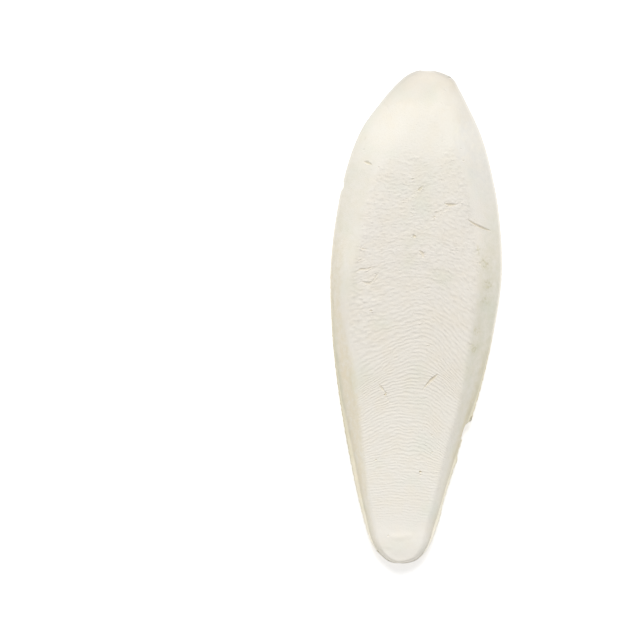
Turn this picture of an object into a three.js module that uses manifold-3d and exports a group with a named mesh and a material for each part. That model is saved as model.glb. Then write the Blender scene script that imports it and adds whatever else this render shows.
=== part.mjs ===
// A cuttlebone: the light chalky shell from inside a cuttlefish, grown as one piece.
// It lies on its hard convex back with the ridged belly face up. Millimetres, +Z up.
// +Y points to the broad front end, +X to the right of the belly face, and the origin
// is on the surface it lies on, close under the middle of its length and width.
import * as THREE from 'three';
import { mergeVertices } from 'three/addons/utils/BufferGeometryUtils.js';
import Module from 'manifold-3d';

// Driving dimensions
const FRONT_END = 80;
const REAR_END = -79.2;
const MIDDLE_Y = (FRONT_END + REAR_END) / 2;
const HALF_LENGTH = (FRONT_END - REAR_END) / 2;
const WIDEST_HALF = 28; // widest half of the outline, which the back's arch is set by

// The outline from above: [place along Y, width left of the middle, width right of it]
const OUTLINE = [
  [77.5, 6.4, 8.4],
  [74, 9.9, 10.9],
  [68, 14.4, 14.4],
  [60, 19.5, 18.6],
  [50, 23.0, 22.2],
  [35, 25.8, 25.9],
  [15, 27.1, 28.0],
  [-5, 25.6, 26.2],
  [-20, 23.3, 23.7],
  [-35, 20.2, 20.2],
  [-50, 16.5, 16.3],
  [-65, 12.1, 12.3],
  [-73, 8.9, 9.6],
  [-77.5, 4.6, 5.8],
];

// Places where the thin horny edge has broken away: [side, place along Y, reach, depth]
const EDGE_BREAKS = [
  [1, -35.5, 4.0, 1.5],
  [1, -41.0, 4.5, 0.9],
  [1, -53.0, 11.0, 0.6],
  [-1, 41.0, 1.6, 0.5],
];
const BREAK_FULL_SHARE = 0.45; // share of its reach over which a break has its full depth
const BREAK_BLEND = 3; // how far in from the outline the surface's columns give way to it

// The belly face, by place along Y: height of its middle above the ground, how far its
// middle stands above its sides, width of its flanks left and right, and how softly they
// turn into the face left and right (1 is a dome, 0.3 a plain shoulder).
const BELLY = [
  [80, 6.5, 0.3, 2.2, 2.4, 0.9, 0.6],
  [76, 8.7, 0.8, 3.2, 2.6, 0.9, 0.4],
  [70, 10.8, 1.4, 4.6, 3.2, 0.95, 0.3],
  [60, 13.3, 1.9, 6.5, 6.8, 0.95, 0.25],
  [48, 15.2, 1.9, 7.0, 7.4, 0.95, 0.35],
  [30, 16.5, 1.6, 6.0, 7.8, 0.9, 0.75],
  [12, 16.5, 1.1, 3.8, 7.8, 0.7, 0.5],
  [-8, 15.4, 0.6, 4.8, 6.7, 0.5, 0.4],
  [-25, 14.0, 0.2, 4.2, 5.1, 0.4, 0.35],
  [-42, 12.5, 0.0, 3.2, 3.9, 0.4, 0.35],
  [-58, 11.1, 0.1, 2.1, 2.7, 0.4, 0.35],
  [-66, 10.5, 0.2, 1.5, 1.9, 0.5, 0.45],
  [-72, 10.5, 0.4, 1.1, 1.2, 0.6, 0.6],
  [-80, 10.0, 0.3, 0.7, 0.7, 0.6, 0.6],
];

// The back: a shield arched both ways, with a low rib along its middle
const BACK_REST_Y = 6.5; // where it bears on the ground, under its centre of mass
const BACK_RADIUS_FRONT = 480;
const BACK_RADIUS_REAR = 760;
const BACK_ARCH = 6.0; // how far its sides rise above its middle at the widest place
const BACK_RIB = 0.35;
const BACK_RIB_HALF = 5;
const BACK_FLAT = 0.34; // how much of the lowest stretch is worn flat where it bears

// The horny edge, by place along Y: how far it stands out, and how thick it is
const EDGE = [
  [80, 0.4, 0.9],
  [20, 0.5, 0.9],
  [-10, 1.0, 0.8],
  [-40, 1.6, 0.75],
  [-65, 1.1, 0.8],
  [-75, 0.5, 0.8],
  [-80, 0.3, 1.0],
];

// Growth ridges of the belly face, by place along Y: spacing, and how strongly they show
const RIDGES = [
  [56, 1.5, 0.0],
  [50, 1.5, 0.55],
  [22, 1.5, 0.8],
  [8, 1.5, 1.0],
  [-8, 1.32, 1.0],
  [-20, 1.2, 1.0],
  [-32, 1.15, 0.95],
  [-46, 1.1, 0.9],
  [-56, 0.92, 0.8],
  [-67, 0.82, 0.0],
];
const RIDGE_HEIGHT = 0.24;
const RIDGE_CREST = 0.74; // share of a ridge's spacing that rises before it drops
const RIDGE_FADE = [0.7, 1.5]; // how far in from the outline they fade, in flank widths

// How the ridges run: by place along Y of a ridge's middle, how far along Y the ridge
// lies from there at each of the places in LINE_X
const LINE_X = [-24, -18, -12, -6, -3, 0, 3, 6, 9, 12, 18, 24];
const LINES = [
  [80, 0, 0, 0, 0, 0, 0, 0, 0, 0, 0, 0, 0],
  [52, -2.4, -1.8, -1.2, -0.7, -0.3, 0, 0.4, 0.8, 1.0, 1.1, 1.0, 0.8],
  [38, -4.0, -3.2, -2.2, -1.0, -0.5, 0, 0.4, 0.6, 0.7, 0.6, 0.2, -0.4],
  [25, -5.0, -4.0, -2.5, -0.8, -0.3, 0, 0.1, 0.0, -0.3, -0.8, -2.2, -4.0],
  [10, -6.5, -4.5, -2.7, -1.2, -0.5, 0, 0.4, 0.2, -0.8, -2.4, -6.2, -9.0],
  [0, -9.5, -6.8, -4.5, -2.2, -1.0, 0, 0.3, -0.2, -1.9, -4.6, -9.6, -13.0],
  [-10, -14.5, -11.0, -7.0, -2.8, -1.2, 0, 0.1, -0.7, -2.6, -5.4, -10.5, -14.0],
  [-20, -11.0, -8.0, -4.6, -1.7, -0.7, 0, 0.1, -0.4, -1.6, -3.3, -6.8, -9.0],
  [-30, -9.0, -6.5, -3.2, -0.4, 0.2, 0, 0.2, -0.6, -3.0, -5.4, -9.0, -11.0],
  [-40, -7.5, -5.5, -3.2, -0.5, 0.7, 0, 0.1, -0.7, -2.0, -3.4, -6.0, -8.0],
  [-50, -2.5, -1.6, -0.8, -0.1, 0.3, 0, 0.1, 0.0, -0.3, -0.6, -1.4, -2.0],
  [-62, -1.0, -0.7, -0.4, 0.1, 0.1, 0, 0.0, 0.0, -0.1, -0.3, -0.6, -1.0],
  [-80, 0, 0, 0, 0, 0, 0, 0, 0, 0, 0, 0, 0],
];

// Slits and gouges in the belly face: [from x, y, to x, y, width, depth]
const SLITS = [
  [4.4, -22.2, 8.6, -17.5, 0.9, 0.9],
  [-9.7, -21.5, -7.1, -25.1, 0.8, 0.7],
  [15.6, 31.9, 22.8, 29.1, 0.8, 0.8],
  [8.0, 36.3, 11.4, 36.7, 1.0, 0.9],
  [4.0, 32.2, 8.8, 35.0, 1.0, 0.6],
  [-18.7, 48.7, -16.0, 47.9, 0.9, 0.7],
  [-18.8, 13.7, -14.2, 15.2, 0.9, 0.6],
  [-17.1, 10.9, -13.8, 9.9, 0.9, 0.6],
  [-14.2, 10.0, -12.1, 13.2, 0.8, 0.6],
  [-18.8, 21.3, -15.8, 20.8, 0.8, 0.5],
  [-1.7, 40.1, 1.3, 42.6, 0.8, 0.5],
  [0.7, 21.6, 2.4, 19.8, 0.9, 0.7],
];

// How finely the two faces are faceted
const FLANK_COLUMNS = [0.5, 0.88, 1.3]; // on the flank and its shoulder, in flank widths
const FACE_COLUMNS = 4; // from the middle of the face to its shoulder
const NARROWEST_COLUMN = 0.07; // columns crowd no closer than this share of the half-width
const BACK_SHARES = [-1, -0.78, -0.46, -0.13, 0.13, 0.46, 0.78, 1]; // columns of the back
const ROWS_PER_BACK_ROW = 4;
const OUTLINE_STEPS = 360;
const TIP_ANGLES = [0.06, 0.13, 0.2, 0.27, 0.34, 0.42, 0.5, 0.6, 0.7];
const FEWEST_SMOOTH_ROWS = 2; // between the front tip and the first ridge
const LEAST_ROW_GAP = 0.6;
const MERGE_WITHIN = 1e-5;

const clamp = (value, low, high) => Math.min(high, Math.max(low, value));
const smoothStep = (from, to, value) => {
  const t = clamp((value - from) / (to - from), 0, 1);
  return t * t * (3 - 2 * t);
};
const softMin = (a, b, softness) => {
  const near = Math.max(softness - Math.abs(a - b), 0) / softness;
  return Math.min(a, b) - (near * near * softness) / 4;
};

// A smooth curve through [key, value] points in rising key order
function curveThrough(points) {
  const slopes = points.map((point, i) => {
    const before = points[Math.max(i - 1, 0)];
    const after = points[Math.min(i + 1, points.length - 1)];
    return (after[1] - before[1]) / (after[0] - before[0]);
  });
  return (key) => {
    const at = clamp(key, points[0][0], points[points.length - 1][0]);
    let i = 0;
    while (i < points.length - 2 && at > points[i + 1][0]) i += 1;
    const [k0, v0] = points[i];
    const [k1, v1] = points[i + 1];
    const span = k1 - k0;
    const t = (at - k0) / span;
    const t2 = t * t;
    const t3 = t2 * t;
    return (
      (2 * t3 - 3 * t2 + 1) * v0 +
      (t3 - 2 * t2 + t) * span * slopes[i] +
      (3 * t2 - 2 * t3) * v1 +
      (t3 - t2) * span * slopes[i + 1]
    );
  };
}

// One column of a list kept from front to rear, as a curve along Y
const along = (list, column) =>
  curveThrough(list.map((row) => [row[0], row[column]]).reverse());

const bellyHeight = along(BELLY, 1);
const bellyCrown = along(BELLY, 2);
const flankLeft = along(BELLY, 3);
const flankRight = along(BELLY, 4);
const shoulderLeft = along(BELLY, 5);
const shoulderRight = along(BELLY, 6);
const edgeWidth = along(EDGE, 1);
const edgeThickness = along(EDGE, 2);
const ridgeSpacing = along(RIDGES, 1);
const ridgeStrength = along(RIDGES, 2);
const lineOffsets = LINE_X.map((x, i) => [x, along(LINES, i + 1)]);

// The outline's half-widths follow the angle round the long axis, so both ends are round
const angleOf = (y) => Math.acos(clamp((y - MIDDLE_Y) / HALF_LENGTH, -1, 1));
const placeAt = (angle) => MIDDLE_Y + HALF_LENGTH * Math.cos(angle);
const outlineCurve = (column) =>
  curveThrough([
    [0, 0],
    ...OUTLINE.map((row) => [angleOf(row[0]), row[column]]),
    [Math.PI, 0],
  ]);
const outlineLeft = outlineCurve(1);
const outlineRight = outlineCurve(2);

// Half-width of the whole outline on one side: -1 is left, 1 is right
const halfWidth = (side, y) => (side < 0 ? outlineLeft : outlineRight)(angleOf(y));

// How much of the horny edge has broken away there
function brokenAway(side, y) {
  const lost = EDGE_BREAKS.filter((gap) => gap[0] === side).map(
    ([, place, reach, depth]) =>
      depth * (1 - smoothStep(BREAK_FULL_SHARE, 1, Math.abs(y - place) / reach)),
  );
  return Math.max(0, ...lost);
}

const outlinePoints = [];
for (const side of [1, -1]) {
  for (let i = 0; i < OUTLINE_STEPS; i += 1) {
    const share = side > 0 ? i / OUTLINE_STEPS : 1 - i / OUTLINE_STEPS;
    const y = placeAt(share * Math.PI);
    outlinePoints.push([side * halfWidth(side, y), y]);
  }
}

function distanceToOutline(x, y) {
  let least = Infinity;
  outlinePoints.forEach(([ax, ay], i) => {
    const [bx, by] = outlinePoints[(i + 1) % outlinePoints.length];
    const dx = bx - ax;
    const dy = by - ay;
    const reach = dx * dx + dy * dy;
    const t = reach > 0 ? clamp(((x - ax) * dx + (y - ay) * dy) / reach, 0, 1) : 0;
    least = Math.min(least, Math.hypot(x - ax - t * dx, y - ay - t * dy));
  });
  return least;
}

// Height of the hard back above the ground
function backHeight(x, y) {
  const side = x < 0 ? -1 : 1;
  const half = Math.max(halfWidth(side, y), 1);
  const radius = y > BACK_REST_Y ? BACK_RADIUS_FRONT : BACK_RADIUS_REAR;
  const lengthwise = (y - BACK_REST_Y) ** 2 / (2 * radius);
  const across = BACK_ARCH * (half / WIDEST_HALF) * Math.min(Math.abs(x) / half, 1) ** 2;
  const rib = BACK_RIB * (1 - Math.exp(-((x / BACK_RIB_HALF) ** 2)));
  return Math.max(lengthwise + across + rib - BACK_FLAT, 0);
}

// Height of the belly face above the ground, without its ridges
function bellyFace(x, y) {
  const distance = distanceToOutline(x, y);
  const toRight = smoothStep(-4, 4, x);
  const flank = flankLeft(y) * (1 - toRight) + flankRight(y) * toRight;
  const softness = shoulderLeft(y) * (1 - toRight) + shoulderRight(y) * toRight;
  const half = Math.max(halfWidth(x < 0 ? -1 : 1, y), 1);
  const edgeTop = backHeight(x, y) + edgeThickness(y);
  const face = bellyHeight(y) - bellyCrown(y) * (Math.min(Math.abs(x) / half, 1) ** 2);
  const climb = Math.max(distance - edgeWidth(y), 0) / flank;
  return edgeTop + (face - edgeTop) * softMin(climb, 1, softness);
}

// How strongly the ridges show at a place: they fade out on the flanks
function ridgeShow(x, y) {
  const side = x < 0 ? -1 : 1;
  const flank = side < 0 ? flankLeft(y) : flankRight(y);
  const inside = halfWidth(side, y) - Math.abs(x);
  const [from, to] = RIDGE_FADE;
  return ridgeStrength(y) * smoothStep(from * flank, to * flank, inside);
}

// A row of the belly face follows one growth line, which this bends out of straight
const growthLineShift = (x, y) =>
  curveThrough(lineOffsets.map(([lineX, offset]) => [lineX, offset(y)]))(x);

// Rows from front to rear: [place along Y, height added by the ridge]. The back takes
// every fourth of them, so the smooth rows before the first ridge make up the number.
function rowPlaces() {
  const frontTip = TIP_ANGLES.map((angle) => [placeAt(angle), 0]);
  const firstRidge = RIDGES[0][0];
  const lastRidge = RIDGES[RIDGES.length - 1][0];
  const ridges = [];
  let y = firstRidge;
  for (; y > lastRidge; y -= ridgeSpacing(y)) {
    ridges.push([y, -RIDGE_HEIGHT / 2]);
    ridges.push([y - RIDGE_CREST * ridgeSpacing(y), RIDGE_HEIGHT / 2]);
  }
  const rearTip = TIP_ANGLES.map((angle) => [placeAt(Math.PI - angle), 0])
    .filter(([place]) => place < y - LEAST_ROW_GAP)
    .reverse();

  const others = frontTip.length + ridges.length + rearTip.length;
  let smoothRows = FEWEST_SMOOTH_ROWS;
  while ((others + smoothRows - 1) % ROWS_PER_BACK_ROW) smoothRows += 1;
  const tipEnd = frontTip[frontTip.length - 1][0];
  const smoothRowGap = (tipEnd - firstRidge) / (smoothRows + 1);
  const smooth = Array.from({ length: smoothRows }, (none, i) => [
    tipEnd - (i + 1) * smoothRowGap,
    0,
  ]);
  return [...frontTip, ...smooth, ...ridges, ...rearTip];
}

// Where a row crosses the outline's width at a share from -1, left, to 1, right
function placeInRow(share, rowY) {
  const side = share < 0 ? -1 : 1;
  const shift = growthLineShift(share * halfWidth(side, rowY), rowY);
  const y = clamp(rowY + shift, REAR_END, FRONT_END);
  const half = halfWidth(side, y);
  const inset = (1 - Math.abs(share)) * half;
  const givesWay = brokenAway(side, y) * Math.max(1 - inset / BREAK_BLEND, 0);
  return [side * (half - inset - givesWay), y];
}

// Shares of the half-width that put columns on the edge, the flank and the shoulder, and
// spread the rest evenly over the face
function columnShares(rowY) {
  const sideShares = (side) => {
    const half = halfWidth(side, rowY);
    const edge = edgeWidth(rowY);
    const flank = side < 0 ? flankLeft(rowY) : flankRight(rowY);
    const insets = [0, edge, ...FLANK_COLUMNS.map((share) => edge + share * flank)];
    const outer = insets.map((inset, i) => 1 - Math.min(inset / half, NARROWEST_COLUMN * i));
    const shoulder = outer[outer.length - 1];
    for (let i = FACE_COLUMNS - 1; i > 0; i -= 1) outer.push((i / FACE_COLUMNS) * shoulder);
    return outer;
  };
  const left = sideShares(-1).map((share) => -share);
  const right = sideShares(1).reverse();
  return [...left, 0, ...right];
}

// The rim of a grid of points as one closed loop, each with its place round the loop
function rimOf(grid) {
  const rows = grid.length;
  const columns = grid[0].length;
  const rim = [];
  for (let j = 0; j < columns - 1; j += 1) rim.push([j / (columns - 1), grid[0][j]]);
  for (let i = 0; i < rows - 1; i += 1) rim.push([1 + i / (rows - 1), grid[i][columns - 1]]);
  for (let j = columns - 1; j > 0; j -= 1) {
    rim.push([2 + (columns - 1 - j) / (columns - 1), grid[rows - 1][j]]);
  }
  for (let i = rows - 1; i > 0; i -= 1) {
    rim.push([3 + (rows - 1 - i) / (rows - 1), grid[i][0]]);
  }
  rim.push([4, grid[0][0]]);
  return rim;
}

// The whole bone before it was scratched: belly face, back, and the thin wall between
function wholeBone() {
  const positions = [];
  const triangles = [];
  const addPoint = (x, y, z) => positions.push(x, y, z) / 3 - 1;
  const addGrid = (grid, facesUp) => {
    for (let i = 0; i + 1 < grid.length; i += 1) {
      for (let j = 0; j + 1 < grid[0].length; j += 1) {
        const corners = [grid[i][j], grid[i + 1][j], grid[i + 1][j + 1], grid[i][j + 1]];
        if (!facesUp) corners.reverse();
        const [a, b, c, d] = corners;
        triangles.push(a, b, c, a, c, d);
      }
    }
  };

  const rows = rowPlaces();
  const belly = rows.map(([rowY, ridge]) =>
    columnShares(rowY).map((share) => {
      const [x, y] = placeInRow(share, rowY);
      return addPoint(x, y, bellyFace(x, y) + ridge * ridgeShow(x, rowY));
    }),
  );
  const back = rows
    .filter((row, i) => i % ROWS_PER_BACK_ROW === 0)
    .map(([rowY]) =>
      BACK_SHARES.map((share) => {
        const [x, y] = placeInRow(share, rowY);
        return addPoint(x, y, backHeight(x, y));
      }),
    );
  addGrid(belly, true);
  addGrid(back, false);

  const upper = rimOf(belly);
  const lower = rimOf(back);
  for (let u = 0, l = 0; u + 1 < upper.length || l + 1 < lower.length; ) {
    const stepUpper =
      l + 1 >= lower.length || (u + 1 < upper.length && upper[u + 1][0] <= lower[l + 1][0]);
    if (stepUpper) {
      triangles.push(upper[u][1], upper[u + 1][1], lower[l][1]);
      u += 1;
    } else {
      triangles.push(upper[u][1], lower[l + 1][1], lower[l][1]);
      l += 1;
    }
  }
  const geometry = new THREE.BufferGeometry();
  geometry.setAttribute('position', new THREE.Float32BufferAttribute(positions, 3));
  geometry.setIndex(triangles);
  return geometry;
}

// The space of one slit: a long narrow spindle sunk into the belly face
function slitSpace([fromX, fromY, toX, toY, width, depth]) {
  const from = new THREE.Vector3(fromX, fromY, bellyFace(fromX, fromY));
  const to = new THREE.Vector3(toX, toY, bellyFace(toX, toY));
  const lengthwise = to.clone().sub(from);
  const crosswise = new THREE.Vector3(0, 0, 1).cross(lengthwise).normalize();
  const upwards = lengthwise.clone().normalize().cross(crosswise);
  const half = lengthwise.length() / 2;
  const place = new THREE.Matrix4()
    .makeBasis(lengthwise.normalize(), crosswise, upwards)
    .setPosition(from.add(to).multiplyScalar(0.5));
  return new THREE.OctahedronGeometry(1).scale(half, width / 2, depth).applyMatrix4(place);
}

const wasm = await Module();
wasm.setup();

function solidFrom(geometry) {
  const bare = geometry.clone();
  bare.deleteAttribute('normal');
  bare.deleteAttribute('uv');
  const merged = mergeVertices(bare, MERGE_WITHIN);
  return new wasm.Manifold(
    new wasm.Mesh({
      numProp: 3,
      vertProperties: merged.getAttribute('position').array,
      triVerts: new Uint32Array(merged.getIndex().array),
    }),
  );
}

function geometryFrom(solid) {
  const mesh = solid.getMesh();
  const geometry = new THREE.BufferGeometry();
  geometry.setAttribute('position', new THREE.BufferAttribute(mesh.vertProperties, 3));
  geometry.setIndex(new THREE.BufferAttribute(mesh.triVerts, 1));
  geometry.computeVertexNormals();
  return geometry;
}

function cuttlebone() {
  const scratched = SLITS.reduce(
    (bone, slit) => bone.subtract(solidFrom(slitSpace(slit))),
    solidFrom(wholeBone()),
  );
  const chalk = new THREE.MeshStandardMaterial({
    color: 0xe9e4d9,
    roughness: 0.85,
    metalness: 0,
  });
  const mesh = new THREE.Mesh(geometryFrom(scratched), chalk);
  mesh.name = 'cuttlebone';
  return mesh;
}

const group = new THREE.Group();
group.add(cuttlebone());

export default group;
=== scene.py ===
import math

import bmesh
import bpy
import numpy as np
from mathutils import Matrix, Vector


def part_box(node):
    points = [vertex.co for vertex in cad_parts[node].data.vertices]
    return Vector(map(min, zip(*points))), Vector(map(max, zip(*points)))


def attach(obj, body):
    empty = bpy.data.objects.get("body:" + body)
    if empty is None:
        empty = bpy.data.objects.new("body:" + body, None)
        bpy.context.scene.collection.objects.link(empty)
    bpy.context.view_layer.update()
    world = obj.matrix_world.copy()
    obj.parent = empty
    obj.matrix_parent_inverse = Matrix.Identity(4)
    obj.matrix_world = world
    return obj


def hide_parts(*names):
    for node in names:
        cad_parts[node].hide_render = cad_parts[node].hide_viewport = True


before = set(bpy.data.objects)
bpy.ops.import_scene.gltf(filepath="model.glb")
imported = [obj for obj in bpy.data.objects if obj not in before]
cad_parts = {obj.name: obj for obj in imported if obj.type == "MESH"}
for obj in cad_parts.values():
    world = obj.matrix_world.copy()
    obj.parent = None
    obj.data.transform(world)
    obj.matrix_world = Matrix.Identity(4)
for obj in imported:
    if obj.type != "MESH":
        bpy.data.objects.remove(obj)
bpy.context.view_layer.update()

# Camera. It looks straight down on the bone from well above, as the photograph does, so
# the bone shows almost without perspective. It aims a little beside the bone, which lies
# in the right half of the picture, and it is turned so that the bone leans to the right.
MM = 0.001
EDGE_PLANE = 7 * MM             # height of the bone's edge, where the picture was measured
PICTURE_WIDTH = 205.35 * MM     # what the picture takes in at that height
PICTURE_MIDDLE = Vector((-29.5 * MM, -2.3 * MM, EDGE_PLANE))
BONE_LEAN = math.radians(3.28)



def new_object(name, data):
    """An object that is in the scene."""
    thing = bpy.data.objects.new(name, data)
    bpy.context.scene.collection.objects.link(thing)
    return thing


camera_data = bpy.data.cameras.new("camera")
camera_data.lens = 100
camera_data.sensor_width = 36
camera_height = PICTURE_WIDTH * camera_data.lens / camera_data.sensor_width
camera = new_object("camera", camera_data)
camera.location = PICTURE_MIDDLE + Vector((0, 0, camera_height))
camera.rotation_euler = (0, 0, BONE_LEAN)
bpy.context.scene.camera = camera

# Light. A studio tent: even white light from all round, and one broad, distant lamp beyond
# the bone's front end, which brings out the ridges. Shadows fall towards the rear end.
LAMP_FROM = Vector((-0.07, 0.56, 0.82))
LAMP_ANGLE = math.radians(24)
LAMP_STRENGTH = 1.86
TENT_STRENGTH = 0.50

lamp_data = bpy.data.lights.new("lamp", "SUN")
lamp_data.angle = LAMP_ANGLE
lamp_data.energy = LAMP_STRENGTH
lamp = new_object("lamp", lamp_data)
lamp.location = LAMP_FROM
lamp.rotation_euler = (-LAMP_FROM).to_track_quat("-Z", "Y").to_euler()

tent = bpy.data.worlds.new("tent")
tent.use_nodes = True
tent.node_tree.nodes["Background"].inputs["Color"].default_value = (1, 1, 1, 1)
tent.node_tree.nodes["Background"].inputs["Strength"].default_value = TENT_STRENGTH
bpy.context.scene.world = tent
bpy.context.scene.view_settings.view_transform = "Standard"
bpy.context.scene.view_settings.look = "None"

# Table. A plain white sheet under the bone, lit through from below, so that it stays
# white and holds only a soft shadow.
TABLE_SIZE = 4.0
TABLE_GLOW = 0.38
TABLE_WHITE = (0.93, 0.93, 0.93, 1)

table_mesh = bpy.data.meshes.new("table")
half_table = TABLE_SIZE / 2
corners = [(x, y, 0) for x, y in ((-1, -1), (1, -1), (1, 1), (-1, 1))]
table_mesh.from_pydata([Vector(c) * half_table for c in corners], [], [(0, 1, 2, 3)])
table_finish = bpy.data.materials.new("white_sheet")
table_finish.use_nodes = True
sheet = table_finish.node_tree.nodes["Principled BSDF"].inputs
sheet["Base Color"].default_value = TABLE_WHITE
sheet["Roughness"].default_value = 0.9
sheet["Specular IOR Level"].default_value = 0.0
sheet["Emission Color"].default_value = (1, 1, 1, 1)
sheet["Emission Strength"].default_value = TABLE_GLOW
table_mesh.materials.append(table_finish)
table = new_object("table", table_mesh)

# The bone's outline. The shell grows as one long leaf, broad towards the front end and
# narrowing to a blunt rear end. Widths are in millimetres, and the length is the frame's.
bone_low, bone_high = (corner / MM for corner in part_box("cuttlebone"))
MIDDLE_Y = (bone_low.y + bone_high.y) / 2
HALF_LENGTH = (bone_high.y - bone_low.y) / 2
WIDEST_HALF = bone_high.x

OUTLINE = [  # place along Y, width left of the middle, width right of it
    (77.5, 6.4, 8.4),
    (74, 9.9, 10.9),
    (68, 14.4, 14.4),
    (60, 19.5, 18.6),
    (50, 23.0, 22.2),
    (35, 25.8, 25.9),
    (15, 27.1, 28.0),
    (-5, 25.6, 26.2),
    (-20, 23.3, 23.7),
    (-35, 20.2, 20.2),
    (-50, 16.5, 16.3),
    (-65, 12.1, 12.3),
    (-73, 8.9, 9.6),
    (-77.5, 4.6, 5.8),
]
OUTLINE_STEPS = 360


def smooth_between(places, values, place, pick):
    """Values at rising places, joined smoothly and read off at a place."""
    last = len(places) - 1
    before = np.maximum(np.arange(last + 1) - 1, 0)
    after = np.minimum(np.arange(last + 1) + 1, last)
    run = (places[after] - places[before]).reshape(-1, *[1] * (values.ndim - 1))
    slopes = (values[after] - values[before]) / run
    place = np.clip(place, places[0], places[-1])
    i = np.clip(np.searchsorted(places, place) - 1, 0, last - 1)
    span = places[i + 1] - places[i]
    t = (place - places[i]) / span
    return (
        (2 * t**3 - 3 * t**2 + 1) * pick(values, i)
        + (t**3 - 2 * t**2 + t) * span * pick(slopes, i)
        + (3 * t**2 - 2 * t**3) * pick(values, i + 1)
        + (t**3 - t**2) * span * pick(slopes, i + 1)
    )


def curve_through(places, values):
    """A smooth curve through values at places, in any order."""
    order = np.argsort(places)
    places, values = np.array(places, float)[order], np.array(values, float)[order]
    return lambda place: smooth_between(places, values, place, lambda table, i: table[i])


def columns_along(rows):
    """One smooth curve along Y for each column of a list after its first."""
    places, *columns = zip(*rows)
    return [curve_through(places, column) for column in columns]


def smooth_step(start, end, value):
    t = np.clip((value - start) / (end - start), 0, 1)
    return t * t * (3 - 2 * t)


def soft_min(a, b, softness):
    near = np.maximum(softness - np.abs(a - b), 0) / softness
    return np.minimum(a, b) - near * near * softness / 4


def angle_of(y):
    """The angle round the long axis, which makes both ends round."""
    return np.arccos(np.clip((y - MIDDLE_Y) / HALF_LENGTH, -1, 1))


def outline_side(column):
    angles = [0, *(angle_of(row[0]) for row in OUTLINE), math.pi]
    return curve_through(angles, [0, *(row[column] for row in OUTLINE), 0])


outline_left, outline_right = outline_side(1), outline_side(2)


def half_width(x, y):
    """Half-width of the whole outline on the side that x is on."""
    return np.where(x < 0, outline_left(angle_of(y)), outline_right(angle_of(y)))


angles = np.linspace(0, math.pi, OUTLINE_STEPS + 1)
angle_y = MIDDLE_Y + HALF_LENGTH * np.cos(angles)
right_side = np.stack([outline_right(angles), angle_y], 1)
left_side = np.stack([-outline_left(angles), angle_y], 1)
outline = np.concatenate([right_side[:-1], left_side[:0:-1]])


def distance_to_outline(x, y, batch=4000):
    """Distance in from the outline, worked out for a batch of points at a time."""
    start, step = outline, np.roll(outline, -1, 0) - outline
    reach = np.maximum((step**2).sum(1), 1e-12)
    points = np.stack([x, y], 1)
    distance = np.empty(len(points))
    for i in range(0, len(points), batch):
        gap = points[i : i + batch, None] - start[None]
        t = np.clip((gap * step).sum(2) / reach, 0, 1)
        gap -= t[..., None] * step
        distance[i : i + batch] = np.sqrt((gap**2).sum(2).min(1))
    return distance


# The edge. A thin rim of horn runs round the shell. It is widest towards the rear, where
# it has dried, worn to small teeth and broken away in places.
EDGE = [  # place along Y, how far it stands out, how thick it is, depth of its teeth
    (80, 0.4, 0.9, 0.03),
    (20, 0.45, 0.9, 0.05),
    (-10, 0.5, 0.8, 0.12),
    (-25, 0.8, 0.8, 0.14),
    (-40, 1.4, 0.75, 0.16),
    (-65, 1.05, 0.8, 0.14),
    (-75, 0.4, 0.8, 0.10),
    (-80, 0.12, 1.0, 0.05),
]
EDGE_BREAKS = [  # side, place along Y, reach, depth
    (1, -35.5, 4.0, 1.5),
    (1, -41.0, 4.5, 0.9),
    (1, -53.0, 11.0, 0.6),
    (-1, 41.0, 1.6, 0.5),
]
BREAK_FULL_SHARE = 0.45   # share of its reach over which a break has its full depth
BREAK_BLEND = 3.0         # how far in from the outline a break moves the surface
TOOTH_LENGTHS = (0.9, 1.7, 3.1)
TOOTH_TURN = 2.1          # makes the teeth differ left and right
edge_width, edge_thickness, edge_teeth = columns_along(EDGE)


def edge_lost(x, y):
    """How much of the edge is missing at a place along it: breaks and small teeth."""
    side = np.where(x < 0, -1, 1)
    lost = np.zeros_like(y)
    for break_side, place, reach, depth in EDGE_BREAKS:
        full = 1 - smooth_step(BREAK_FULL_SHARE, 1, np.abs(y - place) / reach)
        lost = np.maximum(lost, np.where(side == break_side, depth * full, 0))
    teeth = sum(np.sin(2 * math.pi * y / length + TOOTH_TURN * side + i)
                for i, length in enumerate(TOOTH_LENGTHS))
    return lost + edge_teeth(y) * (1 + teeth / len(TOOTH_LENGTHS))


# The back and the belly face. The back is a hard shield, arched both ways, with a low rib
# along its middle. The chalk on it is thick in the middle, with a flank down to the edge
# on each side, a smooth dome at the front and a blunt lump at the rear end.
BACK_REST_Y = 6.5         # where it bears on the table, under its centre of mass
BACK_RADIUS_FRONT = 480
BACK_RADIUS_REAR = 760
BACK_ARCH = 6.0           # how far its sides rise above its middle at the widest place
BACK_RIB = 0.35
BACK_RIB_HALF = 5
BACK_FLAT = 0.34          # how much of the lowest stretch is worn flat where it bears

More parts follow.
